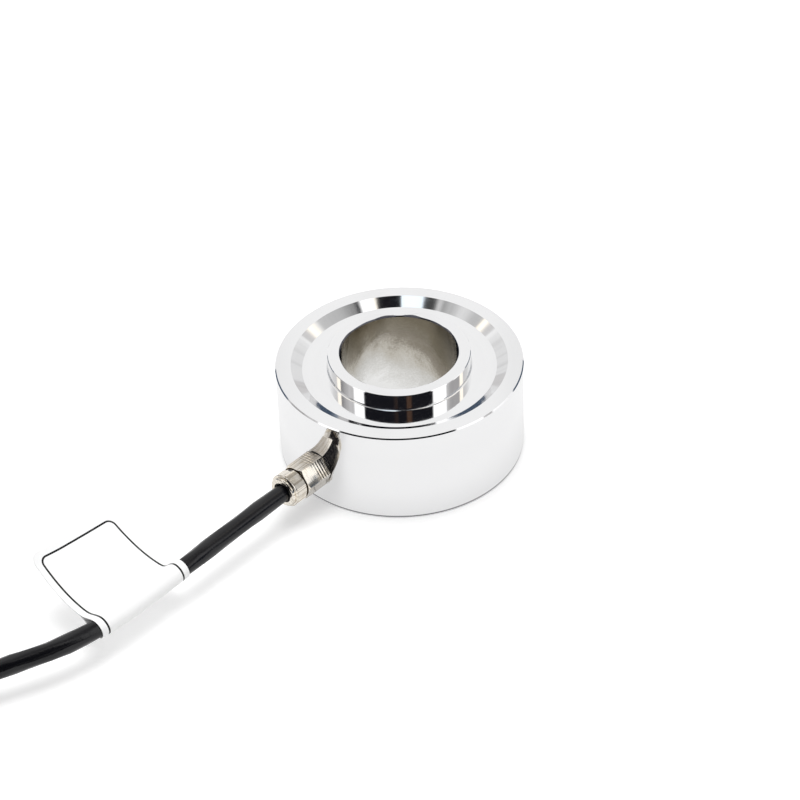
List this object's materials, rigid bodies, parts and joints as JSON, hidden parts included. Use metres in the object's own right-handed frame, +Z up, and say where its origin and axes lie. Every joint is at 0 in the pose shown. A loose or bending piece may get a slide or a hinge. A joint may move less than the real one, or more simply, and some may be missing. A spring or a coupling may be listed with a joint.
{
  "type": "ring force sensor",
  "caption": "Through-hole compression load cell: a thick steel ring with a raised bored hub, a shallow recess, a radial cable gland and a labelled cable.",
  "frame": {"origin": "on the base plane, at the axis of the through bore", "axes": "+Z up along the bore, towards the hub's loaded face; the cable leaves at azimuth -132.9 degrees from +X"},
  "size_m": [0.24, 0.146, 0.0313],
  "materials": {
    "sensor_steel": "polished stainless steel, turned",
    "cover_steel": "satin stainless sheet",
    "gland_metal": "nickel-plated brass",
    "seal_rubber": "matt black",
    "cable_sheath": "satin black PVC sheath",
    "strap_fabric": "woven hook-and-loop tape",
    "label_film": "white film, blank, with a thin black border line",
    "sleeve_plastic": "shrink sleeve",
    "board_laminate": "green solder mask",
    "resistor_ceramic": "lacquered, with plated end caps",
    "gauge_foil": "amber backing film with a foil grid",
    "solder_pad": "copper, tinned",
    "wire_enamel": "enamelled copper",
    "core_red": "PVC insulation",
    "core_black": "PVC insulation",
    "core_green": "PVC insulation",
    "core_white": "PVC insulation",
    "bare_screen": "tinned copper strands"
  },
  "bodies": {
    "root": {"sensor_body": "sensor_steel", "bottom_cover": "cover_steel", "gland_body": "gland_metal", "gland_nut": "gland_metal", "gland_seal_ring": "seal_rubber", "gland_grommet": "seal_rubber", "cable_lead": "cable_sheath", "cable_coil": "cable_sheath", "coil_straps": "strap_fabric", "cable_label": "label_film", "end_sleeve": "sleeve_plastic", "balance_board": "board_laminate", "gauge_wires": "wire_enamel", "shield_lead": "bare_screen", "strain_gauge_1": "gauge_foil", "strain_gauge_2": "gauge_foil", "strain_gauge_3": "gauge_foil", "strain_gauge_4": "gauge_foil", "strain_gauge_5": "gauge_foil", "strain_gauge_6": "gauge_foil", "strain_gauge_7": "gauge_foil", "strain_gauge_8": "gauge_foil", "terminal_pad_1": "solder_pad", "terminal_pad_2": "solder_pad", "terminal_pad_3": "solder_pad", "terminal_pad_4": "solder_pad", "trim_resistor_1": "resistor_ceramic", "trim_resistor_2": "resistor_ceramic", "trim_resistor_3": "resistor_ceramic", "core_red": "core_red", "lead_red": "core_red", "core_black": "core_black", "lead_black": "core_black", "core_green": "core_green", "lead_green": "core_green", "core_white": "core_white", "lead_white": "core_white"}
  },
  "joints": []
}
